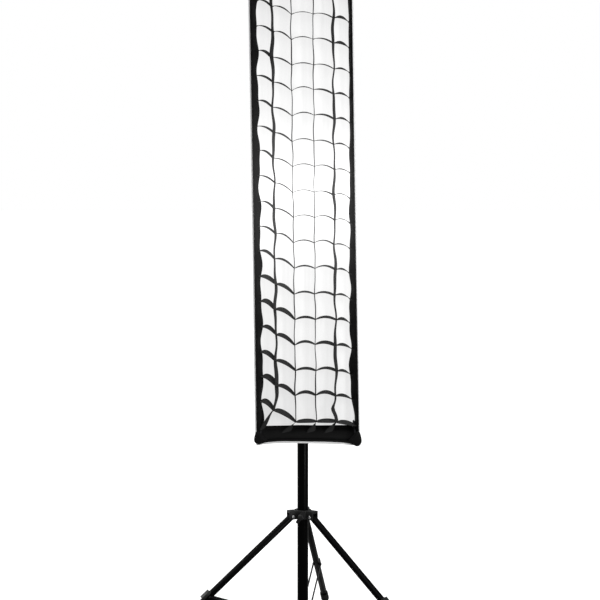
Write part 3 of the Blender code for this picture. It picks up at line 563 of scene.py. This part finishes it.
def edge_binding():
    """Pale tape folded over the shell's front edge."""
    front, back, outer = -0.5792, -0.5718, -0.0049  # outer is an inset, so it stands proud
    section = [
        (-0.0004, back),
        (-0.0022, back - 0.0006),
        (outer * 0.92, back - 0.0018),
        (outer, (front + back) / 2),
        (outer * 0.9, front + 0.0012),
        (-0.0024, front),
        (-0.0006, front + 0.0003),
        (-0.0004, FRONT_Y),
    ]
    cage = bmesh.new()
    rows = []
    for inset, y in section:
        path = rim_path(FRONT_Y, inset, 1.35)  # the tape is fuller across the ends
        rows.append([placed(Vector((p.x, y, p.z))) for p in path])
    net(cage, [*rows, rows[0]], closed=True)
    bmesh.ops.remove_doubles(cage, verts=cage.verts, dist=0.00001)
    made = object_from("edge_binding_tape", cage, [FINISH["binding_fabric"]])
    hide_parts("edge_binding")


def corner_pocket(number, side_x, side_z):
    """A padded pocket of webbing over the rod's tip, with the ends of its folded strap."""
    outline = [
        (0.1150, 0.6905),
        (0.1270, 0.6945),
        (0.1350, 0.6995),
        (0.1425, 0.7010),
        (0.1500, 0.6955),
        (0.1545, 0.6860),
        (0.1520, 0.6740),
        (0.1480, 0.6590),
        (0.1400, 0.6575),
        (0.1330, 0.6660),
        (0.1250, 0.6760),
        (0.1150, 0.6840),
    ]
    centre = Vector((0.1375, 0.6830))
    if side_x < 0 and side_z < 0:  # this one is pulled up tighter
        outline = [(x, y - 0.3 * max(0.0, y - 0.6860)) for x, y in outline]
    cage = bmesh.new()
    layers = (
        (-0.5700, 0.93),
        (-0.5730, 1.0),
        (-0.5815, 1.0),
        (-0.5870, 0.96),
        (-0.5905, 0.82),
        (-0.5918, 0.50),
    )
    rows = []
    for y, share in layers:
        ring = [centre + (Vector(point) - centre) * share for point in outline]
        rows.append([placed(Vector((side_x * p.x, y, side_z * p.y))) for p in ring])
    rings = net(cage, rows, closed=True)
    cage.faces.new(rings[0])
    cage.faces.new(rings[-1])
    made = object_from(f"corner_pocket_{number}_sewn", cage, [WEBBING])
    rounding = made.modifiers.new("smooth", "SUBSURF")
    rounding.levels = rounding.render_levels = 2
    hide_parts(f"corner_pocket_{number}")


# ---------------------------------------------------------------- diffusers
def diffuser(node, y, inset, cut_off, finish, billow):
    """A lit panel across the shell with its corners cut for the rods."""
    half = shell_half(y) - Vector((inset, inset))
    cage = bmesh.new()
    rows = []
    across, up = 24, 88 if half.y > 0.5 else 50
    for i in range(up + 1):
        row = []
        for j in range(across + 1):
            x = half.x * (2 * j / across - 1)
            z = half.y * (2 * i / up - 1)
            over = abs(x) + abs(z) - (half.x + half.y - cut_off)
            if over > 0:
                x -= math.copysign(over / 2, x)
                z -= math.copysign(over / 2, z)
            swell = (1 - (x / half.x) ** 2) * (1 - (z / half.y) ** 4)
            crease = noise.fractal(Vector((x * 14, z * 5, y)), 0.8, 2.0, 2)
            row.append(placed(Vector((x, y - swell * (billow + 0.0012 * crease), z))))
        rows.append(row)
    net(cage, rows)
    made = object_from(node + "_cloth", cage, [finish])
    thicken(made, 0.0005)
    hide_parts(node)


def lip_band():
    """The black hook-and-loop band inside the rim, turned in over the diffuser's edge."""
    sections = [
        (-0.0018, -0.5798),
        (-0.0014, -0.5806),
        (0.0006, -0.5808),
        (0.0018, -0.5796),
        (0.0018, -0.5740),
        (0.0018, -0.5660),
        (0.0018, -0.5580),
        (0.0045, -0.5553),
    ]
    cage = bmesh.new()
    rows = []
    slope = (FRONT_HALF - BACK_HALF) / (BACK_Y - FRONT_Y)
    fuller = (0.0034, 0.0034, 0.0034, 0.0, 0.0, 0.0, 0.0, 0.0022)  # on the top and the bottom
    for (inset, y), more in zip(sections, fuller):
        half = shell_half(y)
        ends_in = inset + more
        row = []
        for point in rim_path(y, 0.0):
            if abs(point.x) / half.x > abs(point.z) / half.y:
                point.x -= math.copysign(inset * math.hypot(1, slope.x), point.x)
                point.z = max(-half.y + inset, min(half.y - inset, point.z))
            else:
                point.z -= math.copysign(ends_in * math.hypot(1, slope.y), point.z)
                point.x = max(-half.x + inset, min(half.x - inset, point.x))
            row.append(placed(point))
        rows.append(row)
    net(cage, rows, closed=True)
    made = object_from("lip_band", cage, [WEBBING_PAINTED_GLOW])
    thicken(made, 0.0008)


# ---------------------------------------------------------------- grid
RANDOM = random.Random(11)
PHASE = [RANDOM.uniform(0, math.tau) for _ in range(8)]
JITTER = [[RANDOM.uniform(-1, 1) for _ in range(6)] for _ in range(ROWS)]


def ribbon(cage, front, back, bulge=0.0, normal=Vector((0, 0, 1))):
    """A strip of cloth between its front edge and its back edge, bulging a little between them."""
    rows = []
    for share in (0.0, 0.33, 0.67, 1.0):
        swell = normal * bulge * 4 * share * (1 - share)
        rows.append([placed(a.lerp(b, share) + swell) for a, b in zip(front, back)])
    net(cage, rows)


def rim_lean(side, z):
    """How far the grid's border leans in from the wall at its back edge."""
    v = z / FRONT_HALF.y
    wave = math.sin(z * LEAN_WAVES[0] + PHASE[0])
    wave += 0.7 * math.sin(z * LEAN_WAVES[1] + PHASE[1] + side)
    if side < 0:
        return 0.0115 + 0.0026 * wave
    low = min(1.0, max(0.0, 0.35 - v)) * smooth(z, -0.625, -0.575)
    return 0.002 + 0.0085 * low + (0.0006 + 0.0022 * low) * (wave + 1)


def border_x(side, y, z):
    """The side border's place at its front or its back edge."""
    half = shell_half(y).x - 0.0032 - bow(y, z / FRONT_HALF.y, False)
    lean = rim_lean(side, z) if y > (GRID_FRONT + GRID_BACK) / 2 else 0.0
    return side * (half - lean)


def column_x(column, z, back):
    """A column strip's place across, at its front or back edge."""
    v = z / FRONT_HALF.y
    sway = (0.0018, 0.0010, 0.0010, 0.0018)[column]
    wave = sway * math.sin(z * math.tau / SWAYS[0] + PHASE[column + 2])
    wave += 0.6 * sway * math.sin(z * math.tau / SWAYS[1] + PHASE[column + 4])
    twist = through(TWIST_LOW[column], TWIST_MID[column], TWIST_TOP[column], v)
    twist *= 1 + 0.35 * math.sin(z * math.tau / TWIST_WAVE + PHASE[column + 3])
    if column == 3:
        kink = math.exp(-(((z - SLACK_Z) / 0.016) ** 2))
        wave -= 0.0085 * kink
        twist *= 1 + 0.5 * kink
    if column == 0:
        wave -= 0.0065 * smooth(-z, 0.55, 0.60)
    return COLUMN_X[column] + COLUMN_DRIFT[column] * v + wave + twist * (0.5 if back else -0.5)


def row_z(row, place):
    """The height where a row meets the left border (0), the columns (1 to 4) or the right (5)."""
    z = LOW_ROW + ROW * row
    share = (z + FRONT_HALF.y) / (2 * FRONT_HALF.y)
    rise = RISE_LOW[place] + (RISE_TOP[place] - RISE_LOW[place]) * share
    return z + rise + 0.0013 * JITTER[row][place]


def joint_at(row, place, back):
    """Where a row's front or back edge meets a border or a column."""
    z = row_z(row, place)
    y = GRID_BACK if back else GRID_FRONT
    if place in (0, 5):
        side = -1 if place == 0 else 1
        x = border_x(side, y, z)
        return Vector((x if back else x - 0.75 * side * rim_lean(side, z), y, z))
    return Vector((column_x(place - 1, z, back), y, z))


def grid_rows():
    """Eighteen strips across, arched up in each cell, with their back edges rolled up."""
    cage = bmesh.new()
    for row in range(ROWS):
        fronts, backs = [], []
        for cell in range(5):
            v = (LOW_ROW + ROW * row) / FRONT_HALF.y
            end = ROLL_LOW[cell] if v < 0 else ROLL_TOP[cell]
            ease = smooth(abs(v + 0.06), 0.05, 0.5)
            roll = ROLL_MID[cell] + (end - ROLL_MID[cell]) * ease
            roll *= 1 + 0.25 * JITTER[row][cell]
            arch = ROW_ARCH * (1 + 0.22 * JITTER[row][5 - cell])
            if row == 0 and cell > 1:  # the lowest row lies flat on its right
                roll, arch = 0.0085, 0.0025
            for i in range(ROW_STEPS + (cell == 4)):
                t = i / ROW_STEPS
                lift = arch * 4 * t * (1 - t)
                turn = roll * math.sin(math.pi * t) ** 0.5
                for back, edge in ((False, fronts), (True, backs)):
                    first, last = joint_at(row, cell, back), joint_at(row, cell + 1, back)
                    point = first.lerp(last, t)
                    point.z += lift + (turn / 2 if back else -turn / 2)
                    edge.append(point)
        ribbon(cage, fronts, backs, 0.0006)
    made = object_from("grid_rows", cage, [GRID_CLOTH_FINISH])
    thicken(made, GRID_CLOTH)
    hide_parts("grid")


def grid_columns():
    """Four long strips; past the last rows their tails twist flat and lie against the lip."""
    cage = bmesh.new()
    for column in range(4):
        low, high = row_z(0, column + 1), row_z(ROWS - 1, column + 1)
        shares = [tail / TAIL_STEPS for tail in range(1, TAIL_STEPS + 1)]
        pairs = [column_tail(column, low, t, -1) for t in reversed(shares)]
        pairs += [
            column_pair(column, low + (high - low) * i / COLUMN_STEPS)
            for i in range(COLUMN_STEPS + 1)
        ]
        pairs += [column_tail(column, high, t, 1) for t in shares]
        ribbon(cage, *zip(*pairs), 0.0008, Vector((1, 0, 0)))
    made = object_from("grid_columns", cage, [GRID_CLOTH_FINISH])
    thicken(made, GRID_CLOTH)
    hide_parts("grid")


def column_pair(column, z):
    """A column's front and back edge at a height."""
    front = Vector((column_x(column, z, False), GRID_FRONT, z))
    return front, Vector((column_x(column, z, True), GRID_BACK, z))


def column_tail(column, z, t, side):
    """A column's end: it leans to the left and turns its flat side forward as it meets the lip."""
    first = column == 0 and side < 0
    drop = side * (0.066 if first else 0.040 if side < 0 else 0.048) * t
    shift = ((-0.038, -0.036, -0.022, -0.032)[column] if side < 0 else -0.012) * t**0.8
    turn = math.radians(40 if first else 78) * math.sin(math.pi / 2 * min(1.0, 1.6 * t))
    front, back = column_pair(column, z)
    heart = (front + back) / 2 + Vector((shift, 0.0035 * t, drop))
    across = Vector((math.sin(turn), math.cos(turn), 0.0)) * (GRID_BACK - GRID_FRONT) / 2
    reach = ((back - front) / 2).lerp(across, min(1.0, 2 * t))
    return heart - reach, heart + reach


def grid_border():
    """The border strip, which hooks to the lip all round and leans in along the sides."""
    cage = bmesh.new()
    edges = []
    up, across = BORDER_STEPS
    for y in (GRID_FRONT + 0.001, GRID_BACK):
        loop = []
        top = shell_half(y).y - 0.0065
        for side in (1, -1):
            for i in range(up):
                z = side * top * (2 * i / up - 1) * 0.985
                loop.append(Vector((border_x(side, y, z), y, z)))
            width = side * border_x(side, y, side * top) - 0.006
            for i in range(across + 1):
                s = side * (1 - 2 * i / across)
                loop.append(Vector((s * width, y, side * (top - bow(y, s, True)))))
        edges.append(loop)
    front, back = edges
    rows = []
    for share in (0.0, 0.33, 0.67, 1.0):
        rows.append([placed(a.lerp(b, share)) for a, b in zip(front, back)])
    net(cage, rows, closed=True)
    made = object_from("grid_border", cage, [WEBBING_PAINTED_GLOW])
    thicken(made, GRID_CLOTH)
    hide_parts("grid")


# ---------------------------------------------------------------- back of the box
def rear_cuff():
    """An elastic cuff that closes the shell round the rod holder."""
    insert_low, insert_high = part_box("mount_insert")
    radius = (insert_high.x - insert_low.x) / 2 + 0.0045
    profile = (  # how far it has closed in from the shell's square to its ring, and the depth
        (0.0, BACK_Y - 0.004),
        (0.12, BACK_Y + 0.001),
        (0.45, -0.1815),
        (0.8, -0.1785),
        (1.0, -0.1775),
    )
    cage = bmesh.new()
    count = 72
    rows = []
    for share, y in profile:
        row = []
        for i in range(count):
            angle = math.tau * i / count
            c, s = math.cos(angle), math.sin(angle)
            reach = (BACK_HALF.x + 0.0012) / max(abs(c), abs(s))
            square = Vector((c, s)) * reach
            pucker = 0.0012 * math.sin(angle * 36) * share
            ring = Vector((c, s)) * (radius + 0.004 + pucker)
            flat = square.lerp(ring, share)
            row.append(placed(Vector((flat.x, y, flat.y))))
        rows.append(row)
    net(cage, rows, closed=True)
    made = object_from("rear_cuff", cage, [SHELL_CLOTH])
    thicken(made, CLOTH)


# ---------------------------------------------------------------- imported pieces
def dress_frame():
    """Welds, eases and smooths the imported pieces' surfaces and gives each its finish."""
    slots = {part["node"]: part["material_slot"] for part in frame["record"]["subparts"]}
    for name, obj in frame["nodes"].items():
        finish = FINISH[slots[name]]
        obj.data.materials.clear()
        obj.data.materials.append(finish)
        if obj.hide_render:
            continue
        old = obj.data.attributes.get("custom_normal")
        if old:
            obj.data.attributes.remove(old)
        obj.data.shade_smooth()
        weld = obj.modifiers.new("weld", "WELD")
        weld.merge_threshold = 0.00001
        flat = obj.modifiers.new("flats", "DECIMATE")
        flat.decimate_type = "DISSOLVE"
        flat.angle_limit = math.radians(1)
        edges = obj.modifiers.new("edges", "BEVEL")
        edges.width = 0.0004
        edges.segments = 2
        edges.limit_method = "ANGLE"
        edges.angle_limit = math.radians(38)
        split = obj.modifiers.new("sharp", "EDGE_SPLIT")
        split.split_angle = math.radians(38)


# ---------------------------------------------------------------- stage
def seen(tree, to_camera, to_others):
    """A value that differs between what the camera sees and what lights the object."""
    path = tree.nodes.new("ShaderNodeLightPath")
    mix = tree.nodes.new("ShaderNodeMapRange")
    tree.links.new(path.outputs["Is Camera Ray"], mix.inputs["Value"])
    mix.inputs["To Min"].default_value = to_others
    mix.inputs["To Max"].default_value = to_camera
    return mix.outputs[0]


def stage():
    """A pale floor and a white world, which the camera sees paler than the object does."""
    cage = bmesh.new()
    bmesh.ops.create_grid(cage, x_segments=8, y_segments=8, size=60.0)
    mesh = bpy.data.meshes.new("floor")
    cage.to_mesh(mesh)
    cage.free()
    floor = bpy.data.objects.new("floor", mesh)
    COLLECTION.objects.link(floor)
    paper = bpy.data.materials.new("pale_floor")
    paper.use_nodes = True
    shader = paper.node_tree.nodes["Principled BSDF"]
    shader.inputs["Roughness"].default_value = 0.9
    shader.inputs["Specular IOR Level"].default_value = 0.0
    paper.node_tree.links.new(seen(paper.node_tree, 0.93, 0.25), shader.inputs["Base Color"])
    mesh.materials.append(paper)
    world = bpy.data.worlds.new("studio")
    bpy.context.scene.world = world
    world.use_nodes = True
    background = world.node_tree.nodes["Background"]
    background.inputs["Color"].default_value = (1.0, 1.0, 1.0, 1.0)
    world.node_tree.links.new(seen(world.node_tree, 1.0, 0.38), background.inputs["Strength"])


def sun(name, strength, spread, turn):
    """A distant light as wide as spread, and turned, in degrees."""
    data = bpy.data.lights.new(name, "SUN")
    data.energy = strength
    data.angle = math.radians(spread)
    made = bpy.data.objects.new(name, data)
    made.rotation_euler = [math.radians(a) for a in turn]
    COLLECTION.objects.link(made)


def strip_light(name, place, target, size, power):
    """A tall area light that faces a target."""
    data = bpy.data.lights.new(name, "AREA")
    data.shape = "RECTANGLE"
    data.size, data.size_y = size
    data.energy = power
    made = bpy.data.objects.new(name, data)
    made.location = place
    made.rotation_euler = (Vector(target) - Vector(place)).to_track_quat("-Z", "Y").to_euler()
    COLLECTION.objects.link(made)


def lights():
    """A broad light from above, and a strip on each side for the tubes' edges."""
    sun("overhead", 3.2, 70, (18, -14, 0))
    low = (MAST.x, MAST.y, 0.6)
    strip_light("right_strip", (2.6, -2.4, 1.3), low, (0.4, 2.2), 85)
    strip_light("left_strip", (-3.0, 2.2, 1.8), low, (0.6, 2.2), 60)


def camera():
    """A level camera in front of the mast, with its frame shifted down."""
    distance = 5.14
    lens = bpy.data.cameras.new("camera")
    lens.sensor_width = 36.0
    lens.lens = 96.2
    lens.shift_x = 0.0109
    lens.shift_y = -0.2093
    made = bpy.data.objects.new("camera", lens)
    made.location = (MAST.x - 0.030, MAST.y - distance, 1.506)
    made.rotation_euler = (math.radians(90), 0, 0)
    COLLECTION.objects.link(made)
    bpy.context.scene.camera = made
    bpy.context.scene.view_settings.view_transform = "Standard"


# ---------------------------------------------------------------- the whole
camera()
stage()
lights()
shell()
corner_seams()
shell_stitching()
edge_binding()
for number, signs in enumerate(CORNERS, 1):
    corner_pocket(number, *signs)
diffuser("front_diffuser", DIFFUSER_Y, 0.0025, 0.016, FINISH["diffuser_fabric"], 0.001)
diffuser("inner_baffle", BAFFLE_Y, 0.014, 0.030, BAFFLE, 0.004)
lip_band()
grid_border()
grid_rows()
grid_columns()
rear_cuff()
dress_frame()
